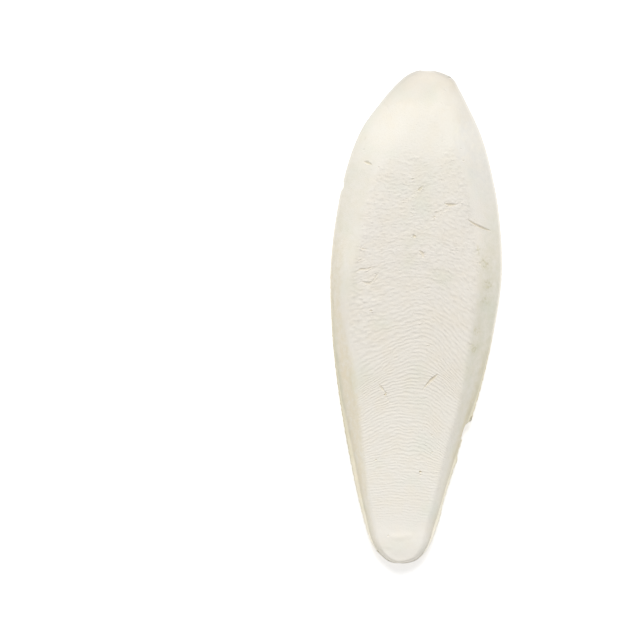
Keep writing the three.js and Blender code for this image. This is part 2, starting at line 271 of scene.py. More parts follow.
BELLY = [  # place along Y, height of its middle, crown, flanks and shoulders left and right
    (80, 6.5, 0.3, 2.2, 2.4, 0.9, 0.6),
    (76, 8.7, 0.8, 3.2, 2.6, 0.9, 0.4),
    (70, 10.8, 1.4, 4.6, 3.2, 0.95, 0.3),
    (60, 13.3, 1.9, 6.5, 6.8, 0.95, 0.25),
    (48, 15.2, 1.9, 7.0, 7.4, 0.95, 0.35),
    (30, 16.5, 1.6, 6.0, 7.8, 0.9, 0.75),
    (12, 16.5, 1.1, 3.8, 7.8, 0.6, 0.35),
    (-8, 15.4, 0.6, 4.8, 6.7, 0.28, 0.18),
    (-25, 14.0, 0.2, 4.2, 5.1, 0.18, 0.16),
    (-42, 12.5, 0.0, 3.2, 3.9, 0.22, 0.2),
    (-58, 11.1, 0.1, 2.1, 2.7, 0.35, 0.3),
    (-66, 10.5, 0.2, 1.6, 2.2, 0.5, 0.45),
    (-72, 10.5, 0.4, 1.3, 1.6, 0.6, 0.6),
    (-80, 10.0, 0.3, 0.45, 0.45, 0.6, 0.6),
]
belly_height, belly_crown, *belly_sides = columns_along(BELLY)
flank_left, flank_right, shoulder_left, shoulder_right = belly_sides


SIDE_BLEND = 4            # half the width over which left blends into right


def either_side(left, right, x, y):
    """A measure that differs left and right, blended over the middle of the bone."""
    to_right = smooth_step(-SIDE_BLEND, SIDE_BLEND, x)
    return left(y) * (1 - to_right) + right(y) * to_right


def flank_width(x, y):
    return either_side(flank_left, flank_right, x, y)


def across(x, y):
    """How far across the bone a place is, from 0 in the middle to 1 at the outline."""
    return np.minimum(np.abs(x) / np.maximum(half_width(x, y), 1), 1)


MOUNDS = [  # x, y, reach along X, reach along Y, height, share of its reach that is flat
    (1.0, -72.4, 6.0, 4.6, 0.20, 0.4),
    (-1.0, -69.9, 4.2, 1.3, 0.16, 0.2),
    (2.6, -69.3, 2.2, 1.2, 0.14, 0.2),
    (-3.4, -73.4, 1.6, 0.8, 0.12, 0.2),
    (2.6, 64.0, 2.0, 4.2, 0.20, 0.0),
    (-3.0, 67.5, 2.6, 4.4, -0.16, 0.0),
    (2.6, 18.4, 1.8, 1.9, 0.22, 0.2),
    (-12.2, 3.8, 2.6, 2.4, 0.20, 0.1),
    (-12.0, -62.0, 1.5, 6.0, 0.10, 0.0),
]


def mounds(x, y):
    """Low swellings and dents of the belly face."""
    height = np.zeros_like(x)
    for at_x, at_y, reach_x, reach_y, rise, flat_share in MOUNDS:
        away = np.hypot((x - at_x) / reach_x, (y - at_y) / reach_y)
        height += rise * (1 - smooth_step(flat_share, 1, away))
    return height


def back_height(x, y):
    radius = np.where(y > BACK_REST_Y, BACK_RADIUS_FRONT, BACK_RADIUS_REAR)
    lengthwise = (y - BACK_REST_Y) ** 2 / (2 * radius)
    width = np.maximum(half_width(x, y), 1) / WIDEST_HALF
    rib = BACK_RIB * (1 - np.exp(-((x / BACK_RIB_HALF) ** 2)))
    return np.maximum(lengthwise + BACK_ARCH * width * across(x, y) ** 2 + rib - BACK_FLAT, 0)


def belly_face(x, y, inset):
    """Height of the belly face, without its ridges, inset from the outline."""
    edge_top = back_height(x, y) + edge_thickness(y)
    face = belly_height(y) - belly_crown(y) * across(x, y) ** 2
    climb = np.maximum(inset - edge_width(y), 0) / flank_width(x, y)
    softness = either_side(shoulder_left, shoulder_right, x, y)
    smooth_face = edge_top + (face - edge_top) * soft_min(climb, 1, softness)
    return smooth_face + mounds(x, y) * smooth_step(0.5, 1, climb)  # none low on the flanks


# The growth lines. The animal lays down one thin chalk layer after another, and each
# ends on the belly face in a low step. The steps arch over the middle of the bone, crowd
# together towards the rear, and break up into wrinkles towards the front.
GROWTH = [  # place along Y, spacing, strength, wander
    (56, 1.5, 0.6, 1.0),
    (50, 1.5, 0.85, 1.0),
    (22, 1.5, 0.95, 0.85),
    (8, 1.5, 1.1, 0.55),
    (-8, 1.32, 1.1, 0.42),
    (-20, 1.2, 0.95, 0.38),
    (-32, 1.15, 0.8, 0.38),
    (-46, 1.1, 0.72, 0.4),
    (-56, 0.92, 0.52, 0.38),
    (-64, 0.86, 0.36, 0.35),
    (-67, 0.82, 0.0, 0.35),
]
LINE_X = (-24, -18, -12, -6, -3, 0, 3, 6, 9, 12, 18, 24)
LINES = [  # place along Y of a growth line's middle, how far it lies from there at each X
    (80, (0, 0, 0, 0, 0, 0, 0, 0, 0, 0, 0, 0)),
    (52, (-2.4, -1.8, -1.2, -0.7, -0.3, 0, 0.4, 0.8, 1.0, 1.1, 1.0, 0.8)),
    (38, (-4.0, -3.2, -2.2, -1.0, -0.5, 0, 0.4, 0.6, 0.7, 0.6, 0.2, -0.4)),
    (25, (-5.0, -4.0, -2.5, -0.8, -0.3, 0, 0.1, 0.0, -0.3, -0.8, -2.2, -4.0)),
    (10, (-6.5, -4.5, -2.7, -1.2, -0.5, 0, 0.4, 0.2, -0.8, -2.4, -6.2, -9.0)),
    (0, (-9.5, -6.8, -4.5, -2.2, -1.0, 0, 0.3, -0.2, -1.9, -4.6, -9.6, -13.0)),
    (-10, (-14.5, -11.0, -7.0, -2.8, -1.2, 0, 0.1, -0.7, -2.6, -5.4, -10.5, -14.0)),
    (-20, (-11.0, -8.0, -4.6, -1.7, -0.7, 0, 0.1, -0.4, -1.6, -3.3, -6.8, -9.0)),
    (-30, (-9.0, -6.5, -3.2, -0.4, 0.2, 0, 0.2, -0.6, -3.0, -5.4, -9.0, -11.0)),
    (-40, (-7.5, -5.5, -3.2, -0.5, 0.7, 0, 0.1, -0.7, -2.0, -3.4, -6.0, -8.0)),
    (-50, (-2.5, -1.6, -0.8, -0.1, 0.3, 0, 0.1, 0.0, -0.3, -0.6, -1.4, -2.0)),
    (-62, (-1.0, -0.7, -0.4, 0.1, 0.1, 0, 0.0, 0.0, -0.1, -0.3, -0.6, -1.0)),
    (-80, (0, 0, 0, 0, 0, 0, 0, 0, 0, 0, 0, 0)),
]
FAULT_X = 5.0             # rearward of the middle the lines break along this line
FAULT_SHIFT = 0.45        # and go on shifted by this share of a step,
FAULT_BLEND = 0.5         # over this much to each side of it, between these places along Y
FAULT_FRONT = (-25, -29)
FAULT_REAR = (-52, -48)
STEPS_END = [  # place along Y, how far in from the outline the steps end, left and right
    (56, 12.5, 11.0),
    (50, 10.6, 9.5),
    (40, 9.0, 9.3),
    (30, 8.2, 8.8),
    (20, 8.0, 8.3),
    (10, 6.5, 8.0),
    (0, 5.4, 7.4),
    (-10, 6.2, 6.8),
    (-20, 6.8, 6.2),
    (-30, 5.3, 5.5),
    (-40, 5.0, 5.0),
    (-50, 3.8, 4.4),
    (-60, 3.4, 3.5),
    (-70, 2.2, 2.6),
]
STEP_FADE = 1.4           # over how many millimetres they fade out there
ROWS_PER_STEP = 5
TIP_ROWS = 34             # rows in each end, where no steps are
FRONT_TIP = (0.05, 0.74)  # the angles round the long axis that they lie between
REAR_TIP = (0.05, 0.56)
growth_spacing, growth_strength, growth_wander = columns_along(GROWTH)
line_columns = columns_along([(y, *offsets) for y, offsets in LINES])


def growth_line_shift(x, y):
    """How far along Y a growth line has moved at x from where it crosses the middle."""
    values = np.array([column(y) for column in line_columns])
    return smooth_between(np.array(LINE_X, float), values, x,
                          lambda table, i: np.take_along_axis(table, i[None], 0)[0])


def growth_rows():
    """Rows from front to rear, as places along Y and counts of growth steps."""
    front_tip = MIDDLE_Y + HALF_LENGTH * np.cos(np.linspace(*FRONT_TIP, TIP_ROWS))
    first, last = GROWTH[0][0], GROWTH[-1][0]
    rows = [(y, (first - y) / -growth_spacing(first)) for y in front_tip if y > first]
    y, count = float(first), 0
    while y > last:
        spacing = float(growth_spacing(y))
        rows += [(y - spacing * i / ROWS_PER_STEP, count + i / ROWS_PER_STEP)
                 for i in range(ROWS_PER_STEP)]
        y, count = y - spacing, count + 1
    rear_tip = MIDDLE_Y - HALF_LENGTH * np.cos(np.linspace(*REAR_TIP, TIP_ROWS))[::-1]
    rows += [(p, count + (y - p) / growth_spacing(last)) for p in rear_tip if p < y]
    return np.array(rows).T


# The bone's surface is laid out as a grid that follows the growth lines, with columns
# crowded at the edge and on the flanks, and closed below by a coarser grid for the back.
EDGE_COLUMNS = (0, 0.35, 0.7)
FLANK_COLUMNS = (0, 0.08, 0.18, 0.3, 0.42, 0.54, 0.66, 0.78, 0.9, 1.0, 1.14, 1.3)
FACE_COLUMNS = 40
NARROWEST_COLUMN = 0.02
BACK_COLUMNS = 72
ROWS_PER_BACK_ROW = 3
RIM_BULGE = 0.14          # how far the rounded rim stands out between its two corners
RIM_RINGS = (0.3, 0.7)    # how far down the rim its two rings of points lie

row_places, row_counts = growth_rows()
spare = (len(row_places) - 1) % ROWS_PER_BACK_ROW
row_places, row_counts = row_places[spare:], row_counts[spare:]


def column_shares(y):
    """Shares of the half-width at which one row's columns lie, from left to right."""
    sides = []
    for side, flank in ((-1, flank_left(y)), (1, flank_right(y))):
        half, edge = float(half_width(side, y)), float(edge_width(y))
        insets = [edge * s for s in EDGE_COLUMNS] + [edge + flank * s for s in FLANK_COLUMNS]
        outer = [1 - min(inset / half, NARROWEST_COLUMN * i) for i, inset in enumerate(insets)]
        inner = [outer[-1] * (1 - i / FACE_COLUMNS) for i in range(1, FACE_COLUMNS)]
        sides.append(outer + inner)
    left, right = sides
    return [-share for share in left] + [0] + right[::-1]


def lay_grid(places, shares):
    """The x and y of a grid's points, row by row, on the growth lines."""
    y = np.repeat(places[:, None], shares.shape[1], 1)
    x = shares * half_width(shares, y)
    y = y + growth_line_shift(x, y)
    half = half_width(shares, y)
    inset = (1 - np.abs(shares)) * half
    lost = edge_lost(shares, y)
    inset = inset + lost * np.clip(1 - inset / BREAK_BLEND, 0, 1)
    return np.sign(shares) * np.maximum(half - inset, 0), y


def rim_of(numbers):
    """A grid's rim as one loop of point numbers, each with its place round the loop."""
    rows, columns = numbers.shape
    sides = [numbers[0, :-1], numbers[:-1, -1], numbers[-1, :0:-1], numbers[:0:-1, 0]]
    places = [i + np.arange(len(side)) / len(side) for i, side in enumerate(sides)]
    return np.concatenate(sides), np.concatenate(places)


def grid_faces(numbers):
    """Four-cornered faces between neighbouring points of a grid, facing up."""
    a, b, c, d = numbers[:-1, :-1], numbers[1:, :-1], numbers[1:, 1:], numbers[:-1, 1:]
    return np.stack([a, b, c, d], -1).reshape(-1, 4)


belly_shares = np.array([column_shares(y) for y in row_places])
belly_x, belly_y = lay_grid(row_places, belly_shares)
belly_numbers = np.arange(belly_x.size).reshape(belly_x.shape)
rim, rim_places = rim_of(belly_numbers)

back_places = row_places[::ROWS_PER_BACK_ROW]
back_spread = np.sin(np.linspace(-math.pi / 2, math.pi / 2, BACK_COLUMNS))
back_spread = 0.5 * back_spread + 0.5 * np.linspace(-1, 1, BACK_COLUMNS)  # closer at the rim
back_x, back_y = lay_grid(back_places, np.tile(back_spread, (len(back_places), 1)))

points = [np.stack([belly_x, belly_y], -1).reshape(-1, 2)]
rim_points = points[0][rim]
along_rim = np.roll(rim_points, -1, 0) - np.roll(rim_points, 1, 0)
outwards = np.stack([-along_rim[:, 1], along_rim[:, 0]], 1)
outwards *= -1 / np.maximum(np.linalg.norm(outwards, axis=1, keepdims=True), 1e-9)
rings = [rim]
for ring in range(len(RIM_RINGS)):
    points.append(rim_points + outwards * RIM_BULGE)
    rings.append(belly_x.size + ring * len(rim) + np.arange(len(rim)))
back_start = belly_x.size + len(RIM_RINGS) * len(rim)
points.append(np.stack([back_x, back_y], -1).reshape(-1, 2))
points = np.concatenate(points)
back_numbers = back_start + np.arange(back_x.size).reshape(back_x.shape)

faces = [tuple(face) for face in grid_faces(belly_numbers)]
faces += [tuple(face[::-1]) for face in grid_faces(back_numbers)]
for upper, lower in zip(rings, rings[1:]):
    faces += zip(upper, np.roll(upper, -1), np.roll(lower, -1), lower)
back_rim, back_rim_places = rim_of(back_numbers)
low_ring = rings[-1]
# The finer rim is joined to the back's coarser one by triangles, a step on either at a time.
fine, coarse = 0, 0
while fine < len(low_ring) or coarse < len(back_rim):
    next_fine = rim_places[fine + 1] if fine + 1 < len(low_ring) else 4
    next_coarse = back_rim_places[coarse + 1] if coarse + 1 < len(back_rim) else 4
    here = (low_ring[fine % len(low_ring)], back_rim[coarse % len(back_rim)])
    if coarse >= len(back_rim) or (fine < len(low_ring) and next_fine <= next_coarse):
        fine += 1
        faces.append((here[0], low_ring[fine % len(low_ring)], here[1]))
    else:
        coarse += 1
        faces.append((here[0], back_rim[coarse % len(back_rim)], here[1]))

bone_mesh = bpy.data.meshes.new("bone")
bone_mesh.from_pydata(
    [(x * MM, y * MM, 0) for x, y in points], [], [list(map(int, face)) for face in faces])

# Scratches and pits. Chalk this soft takes a mark from anything hard: a few long slits cut
# by something sharp, gouges with a crushed floor, and small round holes.
SCRATCHES = [  # width, depth, points it runs through, each with its share of them there
    (0.60, 0.75, [(4.7, -22.7, 0.2), (6.0, -21.0, 0.6), (7.4, -19.4, 0.9), (9.0, -17.8, 0.5)]),
    (0.45, 0.40, [(-9.4, -21.8, 0.3), (-8.4, -23.1, 1.0), (-7.6, -23.9, 0.5), (-7.0, -24.6, 0.9)]),
    (0.30, 0.12, [(-6.9, -25.4, 0.6), (-6.2, -26.8, 1.0), (-5.4, -27.6, 0.4)]),
    (0.45, 0.55, [(16.2, 32.4, 0.4), (18.0, 31.4, 0.8), (20.5, 30.3, 1.0), (23.3, 29.5, 0.5)]),
    (0.60, 0.60, [(8.5, 37.2, 0.4), (10.2, 36.9, 1.0), (12.0, 37.2, 0.5)]),
    (0.35, 0.14, [(11.8, 37.2, 0.8), (12.8, 37.5, 1.0), (14.0, 38.4, 0.2)]),
    (0.45, 0.10, [(4.9, 32.6, 0.8), (6.3, 34.4, 1.0), (7.4, 34.6, 0.5), (9.0, 35.6, 0.9)]),
    (0.55, 0.50, [(-18.5, 49.4, 0.2), (-17.2, 48.9, 1.0), (-15.8, 48.4, 0.5)]),
    (0.45, 0.32, [(-18.9, 13.7, 0.4), (-17.2, 14.7, 1.0), (-15.4, 14.8, 0.7), (-14.0, 15.6, 0.6)]),
    (0.45, 0.28, [(-17.2, 11.0, 0.2), (-15.6, 10.4, 0.9), (-14.3, 10.3, 1.0)]),
    (0.45, 0.26, [(-14.3, 10.3, 1.0), (-13.3, 11.1, 0.6), (-12.1, 13.1, 0.9)]),
    (0.40, 0.20, [(-18.4, 21.7, 0.3), (-17.0, 21.3, 1.0), (-15.4, 21.2, 0.4)]),
    (0.50, 0.06, [(-4.6, 37.4, 0.3), (-2.5, 39.3, 1.0), (-0.6, 41.0, 0.8)]),
    (0.55, 0.36, [(-0.9, 40.8, 0.3), (0.1, 41.4, 1.0), (1.0, 42.5, 0.5)]),
    (0.55, 0.45, [(1.2, 21.6, 0.5), (2.1, 20.9, 1.0), (2.4, 20.1, 0.8)]),
    (0.35, 0.10, [(10.9, 22.5, 0.5), (12.0, 22.3, 1.0), (13.2, 22.5, 0.5)]),
    (0.35, 0.35, [(-25.8, 4.6, 0.5), (-25.6, 2.8, 1.0), (-25.4, 1.0, 0.5)]),
    (0.30, 0.08, [(1.8, -1.0, 0.5), (2.6, -1.2, 1.0), (3.4, -0.9, 0.5)]),
    (0.45, 0.70, [(20.9, -30.6, 0.6), (20.6, -31.6, 1.0), (20.2, -32.8, 0.8)]),
    (0.35, 0.16, [(-19.3, 57.4, 0.6), (-18.0, 56.5, 1.0), (-16.4, 55.9, 0.5)]),
    (0.28, 0.10, [(-16.6, 56.0, 0.5), (-15.4, 56.3, 1.0), (-14.2, 55.8, 0.5)]),
    (0.28, 0.10, [(5.3, 73.6, 0.6), (6.1, 73.5, 1.0), (6.9, 73.0, 0.4)]),
    (0.28, 0.09, [(6.4, 68.7, 0.5), (7.6, 68.6, 1.0), (8.6, 68.9, 0.5)]),
    (0.28, 0.08, [(-8.8, 69.0, 0.5), (-7.8, 69.2, 1.0), (-6.9, 69.0, 0.5)]),
    (0.28, 0.08, [(4.6, 69.9, 0.5), (5.4, 69.2, 1.0), (5.9, 68.7, 0.5)]),
    (0.35, 0.08, [(-13.8, 69.0, 0.5), (-12.6, 67.6, 1.0), (-11.4, 66.3, 0.5)]),
]
PITS = [  # x, y, radius, depth
    (-7.2, -25.1, 0.40, 0.75), (-0.8, 26.2, 0.60, 0.55), (5.4, -49.1, 0.40, 0.80),
    (5.5, -50.1, 0.34, 0.28), (-9.0, -46.1, 0.32, 0.30), (-13.0, -45.0, 0.32, 0.22),
    (8.5, -37.0, 0.28, 0.22), (8.8, -42.7, 0.30, 0.25), (6.8, -40.0, 0.30, 0.12),
    (-3.7, -70.2, 0.32, 0.25), (10.0, -70.2, 0.30, 0.20), (13.5, 51.3, 0.32, 0.25),
    (7.5, 77.7, 0.40, 0.30), (-13.5, 47.7, 0.30, 0.20), (-13.3, 1.6, 0.38, 0.25),
    (5.2, 32.9, 0.42, 0.35), (6.1, 34.2, 0.35, 0.25), (8.8, 35.4, 0.42, 0.22),
    (7.3, 34.9, 0.30, 0.15), (-1.6, 34.4, 0.50, 0.15), (20.6, 18.8, 0.50, 0.22),
    (21.6, 19.6, 0.40, 0.20), (23.2, 18.6, 0.45, 0.18), (19.6, 22.6, 0.45, 0.16),
    (21.9, 17.6, 0.35, 0.14), (23.6, 20.8, 0.35, 0.12), (22.8, 12.6, 0.45, 0.14),
    (23.0, 10.2, 0.40, 0.12), (21.3, -2.3, 0.35, 0.15), (19.3, -7.4, 0.45, 0.15),
    (-17.9, 17.4, 0.30, 0.12), (9.4, 63.6, 0.30, 0.12), (-18.6, 53.0, 0.40, 0.12),
    (-6.6, -75.3, 0.40, 0.40), (7.6, -75.1, 0.38, 0.35), (6.4, 57.1, 0.30, 0.10),
    (8.5, 59.4, 0.30, 0.10), (10.2, 57.4, 0.30, 0.10), (12.4, 55.0, 0.32, 0.12),
    (4.8, 55.6, 0.28, 0.08), (-1.8, 33.2, 0.35, 0.15), (-2.4, 44.4, 0.35, 0.15),
    (-3.4, 46.2, 0.30, 0.12), (-4.6, 43.0, 0.32, 0.12), (-1.4, 39.0, 0.35, 0.12),
    (5.9, -8.6, 0.30, 0.14), (12.5, 3.5, 0.30, 0.14), (-9.2, -20.1, 0.25, 0.12),
]
SCRATCH_STEP = 0.25       # how close together the points along a scratch are
PIT_HALF_LENGTH = 0.03    # a pit is a scratch hardly longer than a point


def scratch_path(corners):
    """Points close together on a smooth line through a scratch's own, and their shares."""
    corners = np.array(corners, float)
    reach = np.r_[0, np.cumsum(np.linalg.norm(np.diff(corners[:, :2], axis=0), axis=1))]
    places = np.linspace(0, reach[-1], max(int(reach[-1] / SCRATCH_STEP), 3) + 1)
    x, y, share = (curve_through(reach, corners[:, i])(places) for i in range(3))
    return np.stack([x, y], 1), share


mark_points, mark_links, mark_widths, mark_depths = [], [], [], []
for width, depth, corners in SCRATCHES:
    path, share = scratch_path(corners)
    first = len(mark_points)
    mark_points += path.tolist()
    mark_links += [(first + i, first + i + 1) for i in range(len(path) - 1)]
    mark_widths += (width * share).tolist()
    mark_depths += (depth * share).tolist()
for x, y, radius, depth in PITS:
    first = len(mark_points)
    mark_points += [(x - PIT_HALF_LENGTH, y), (x + PIT_HALF_LENGTH, y)]
    mark_links.append((first, first + 1))
    mark_widths += [radius, radius]
    mark_depths += [depth, depth]
mark_points = np.array(mark_points)

# The marks' places are as they appear in the picture, at the height of the bone's edge.
# The belly face is nearer to the camera, so they lie closer to the picture's middle.
picture_middle = np.array(PICTURE_MIDDLE[:2]) / MM
mark_rise = belly_face(*mark_points.T, distance_to_outline(*mark_points.T)) - EDGE_PLANE / MM
nearer = mark_rise[:, None] * MM / camera_height
mark_points += (picture_middle - mark_points) * nearer

# The grid is made finer round each mark, so that the mark has clean walls.
REFINE_MARGIN = 0.35      # millimetres beyond a mark's width
REFINE_CUTS = 2

centres = points[grid_faces(belly_numbers)].mean(1)
gap = np.full(len(centres), np.inf)
for place, width in zip(mark_points, mark_widths):
    gap = np.minimum(gap, np.linalg.norm(centres - place, axis=1) - width)
work = bmesh.new()
work.from_mesh(bone_mesh)
kind = work.verts.layers.float.new("kind")
growth = work.verts.layers.float.new("growth")
work.verts.ensure_lookup_table()
work.faces.ensure_lookup_table()
counts = np.repeat(row_counts[:, None], belly_x.shape[1], 1)
faulted = smooth_step(*FAULT_FRONT, belly_y) * smooth_step(*FAULT_REAR, belly_y)
faulted *= smooth_step(FAULT_X - FAULT_BLEND, FAULT_X + FAULT_BLEND, belly_x)
counts += FAULT_SHIFT * faulted
for number, count in zip(belly_numbers.flat, counts.flat):
    work.verts[number][growth] = count
for ring, numbers in enumerate(rings[1:], 1):
    for number in numbers:
        work.verts[number][kind] = ring
for number in back_numbers.flat:
    work.verts[number][kind] = len(rings)
near = {edge for i in np.flatnonzero(gap < REFINE_MARGIN) for edge in work.faces[i].edges}
bmesh.ops.subdivide_edges(work, edges=list(near), cuts=REFINE_CUTS, use_grid_fill=True)
work.to_mesh(bone_mesh)
work.free()


def write_attributes(mesh, **attributes):
    for name, values in attributes.items():
        attribute = mesh.attributes.new(name, "FLOAT", "POINT")
        attribute.data.foreach_set("value", np.asarray(values, np.float32))


# Each point's height, and the attributes that the relief and the finishes read.
STEEP_ACROSS = (-8, -16)  # the left flank is steep and crumbly between these places
STEEP_REAR = (-18, -3)
STEEP_FRONT = (12, 4)
STEEP_CRUMBLE = 1.4       # how much more it crumbles than the front, where lines break up
STEEP_WEAR = 0.2          # share of the steps lost there
LINES_BREAK_UP = (2, 24)  # between these places along Y
STEPS_START_Y = 53        # rearward of here the steps set in, on the right a bit further on
STEPS_START_SLANT = 0.35
STEPS_START_REACH = 7
LUMPS_SET_IN = (-64, -70)
FLANK_REACH = (0.55, 1.25)  # shares of the flank's width over which it passes into the face

flat = np.empty(len(bone_mesh.vertices) * 3)
bone_mesh.vertices.foreach_get("co", flat)
place = flat.reshape(-1, 3) / MM
x, y = place[:, 0], place[:, 1]
kind = np.empty(len(place))
bone_mesh.attributes["kind"].data.foreach_get("value", kind)
inset = distance_to_outline(x, y)
inset[(kind > 0) & (kind < len(rings))] = 0
edge_top = back_height(x, y) + edge_thickness(y)
height = np.where(kind == 0, belly_face(x, y, inset), back_height(x, y))
for ring, depth in enumerate(RIM_RINGS, 1):
    height = np.where(kind == ring, edge_top - depth * edge_thickness(y), height)
place[:, 2] = height
bone_mesh.vertices.foreach_set("co", (place * MM).ravel())

steps_end = either_side(*columns_along(STEPS_END), x, y)
fade = smooth_step(-STEP_FADE, STEP_FADE, inset - steps_end)
belly_side = (kind == 0).astype(float)
steep = smooth_step(*STEEP_ACROSS, x) * smooth_step(*STEEP_REAR, y) * smooth_step(*STEEP_FRONT, y)
crumbly = np.maximum(smooth_step(*LINES_BREAK_UP, y), STEEP_CRUMBLE * steep)
onset = (STEPS_START_Y - y + STEPS_START_SLANT * np.maximum(x, 0)) / STEPS_START_REACH
stepped = belly_side * fade * growth_strength(y)
write_attributes(
    bone_mesh,
    inset=inset,
    belly=belly_side,
    steps=stepped * (1 - STEEP_WEAR * steep),
    wander=growth_wander(y),
    onset=np.clip(onset, -1, 2),
    roughened=stepped * growth_wander(y),
    lumpy=belly_side * smooth_step(*LUMPS_SET_IN, y),
    wrinkled=stepped * crumbly,
    flank=belly_side * (1 - smooth_step(*FLANK_REACH, inset / flank_width(x, y))))
bone_mesh.update()

# Stains. Old skin and oil have turned the foot of the left flank ochre and the right flank
# olive, most of all where the chalk meets the horn. Ahead of the ochre, painted shade in the
# olive colour darkens the left flank too.
STAIN_LEFT = [  # place along Y, strength, distance in from the outline, reach, and at the rim
    (60, 0.00, 0.5, 2.0, 1.0),
    (35, 0.15, 0.5, 3.0, 1.0),
    (20, 0.45, 1.6, 2.4, 1.0),
    (8, 0.75, 1.4, 2.0, 1.0),
    (-5, 0.90, 2.0, 2.3, 1.0),
    (-20, 1.00, 3.3, 2.9, 0.8),
    (-30, 1.00, 3.4, 2.4, 0.4),
    (-42, 0.90, 2.8, 2.1, 0.3),
    (-55, 0.75, 2.1, 1.6, 0.1),
    (-68, 0.50, 1.3, 1.1, 0.3),
    (-76, 0.30, 0.5, 0.9, 1.0),
]
STAIN_RIGHT = [
    (60, 0.00, 5.0, 4.0, 0.5),
    (40, 0.30, 2.0, 3.0, 1.0),
    (22, 0.75, 4.0, 3.8, 1.0),
    (8, 1.00, 4.8, 3.2, 0.9),
    (-10, 0.90, 4.4, 3.0, 0.9),
    (-20, 0.70, 3.8, 2.8, 1.0),
    (-32, 0.60, 3.0, 2.4, 1.0),
    (-45, 0.40, 2.6, 1.9, 0.5),
    (-60, 0.20, 2.2, 1.5, 0.2),
    (-76, 0.10, 0.8, 1.0, 1.0),
]
STAIN_GOLD = [  # on the right too, close to the rim
    (0, 0.0, 0.8, 1.6, 1.0),
    (-12, 0.5, 0.8, 1.6, 1.0),
    (-24, 0.9, 1.0, 1.5, 1.0),
    (-38, 0.8, 1.6, 1.2, 0.6),
    (-48, 0.4, 1.8, 1.0, 0.2),
    (-60, 0.2, 1.5, 1.0, 0.2),
    (-80, 0.0, 1.0, 1.0, 0.2),
]
STAIN_SPOTS = [  # x, y, reach: smaller patches on the right
    (21.8, 18.6, 2.7),
    (19.3, 22.6, 1.8),
    (23.4, 12.0, 2.4),
    (22.4, 6.8, 2.0),
    (20.4, -3.0, 1.8),
    (19.8, -8.5, 2.0),
]
LEFT_SHADE_INSET = (9.5, 7.5)   # how far in from the outline the painted shade sets in,
LEFT_SHADE_FRONT = (60, 38)     # and between which places along Y at its two ends
LEFT_SHADE_REAR = (-2, 14)
LEFT_SHADE_STRENGTH = 0.45


def stain(table, side):
    strength, middle, reach, at_rim = (column(y) for column in columns_along(table))
    band = np.exp(-(((inset - middle) / reach) ** 4))
    band = np.where(inset < middle, np.maximum(band, at_rim), band)
    return belly_side * strength * band * (np.sign(x) == side)


# Painted shade on the left flank, carried by the olive stain's colour.
painted_left_shade = smooth_step(*LEFT_SHADE_INSET, inset) * smooth_step(*LEFT_SHADE_FRONT, y) * smooth_step(*LEFT_SHADE_REAR, y)
painted_left_shade *= LEFT_SHADE_STRENGTH * belly_side * (x < 0)
spots = sum(np.exp(-((x - at_x) ** 2 + (y - at_y) ** 2) / (0.5 * reach**2))
            for at_x, at_y, reach in STAIN_SPOTS)
write_attributes(
    bone_mesh,
    ochre=stain(STAIN_LEFT, -1) + stain(STAIN_GOLD, 1),
    olive=stain(STAIN_RIGHT, 1) + painted_left_shade,
    spots=belly_side * np.minimum(spots, 1))

# The front end's right side is a plane of its own, a little bluer than the rest, up to a
# crease. Horn shows on top of the edge only towards the rear.
CREASE = [  # place along Y, place across
    (80, 9.5), (76, 10.3), (70, 11.2), (60, 11.3), (54, 9.5), (47, 14.5), (40, 17.5),
]
CREASE_BLEND = 0.9
PLANE_REAR = (33, 50)     # the plane sets in between these places along Y,
PLANE_TIP = (60, 70)      # and is fainter beyond these
PLANE_TIP_LOSS = 0.7
HORN_SHOWS = [  # place along Y, how much shows left and right
    (10, 0.0, 0.0),
    (-4, 0.5, 0.2),
    (-14, 1.0, 0.8),
    (-40, 1.0, 1.0),
    (-52, 0.6, 0.7),
    (-65, 0.4, 0.4),
    (-78, 0.1, 0.1),
]
# At the rear tip (-78) the dark rim is partly painted shadow, standing in for the shadow under the
# overhanging end.
RIM_DARK_AND_SHADOW = [  # place along Y, how dark the horn right at the rim is left and right
    (70, 0.05, 0.0),
    (58, 0.35, 0.0),
    (40, 0.45, 0.1),
    (10, 0.8, 0.25),
    (-10, 0.9, 0.6),
    (-30, 0.9, 1.0),
    (-60, 0.9, 0.8),
    (-74, 0.3, 0.2),
    (-78, 0.6, 0.6),
]
crease_x, = columns_along(CREASE)
lavender = smooth_step(-CREASE_BLEND, CREASE_BLEND, x - crease_x(y))
lavender *= smooth_step(*PLANE_REAR, y) * (1 - PLANE_TIP_LOSS * smooth_step(*PLANE_TIP, y))
write_attributes(
    bone_mesh,
    lavender=belly_side * lavender,
    horn=either_side(*columns_along(HORN_SHOWS), x, y),
    rimmed=either_side(*columns_along(RIM_DARK_AND_SHADOW), x, y))

# The marks, as a mesh of their own that the relief measures its distances from.
marks_mesh = bpy.data.meshes.new("marks")
mark_inset = distance_to_outline(*mark_points.T)
mark_heights = belly_face(*mark_points.T, mark_inset)
marks_mesh.from_pydata(
    [(mx * MM, my * MM, mz * MM) for (mx, my), mz in zip(mark_points, mark_heights)],
    mark_links, [])
write_attributes(marks_mesh, width=mark_widths, depth=mark_depths)
marks = new_object("marks", marks_mesh)

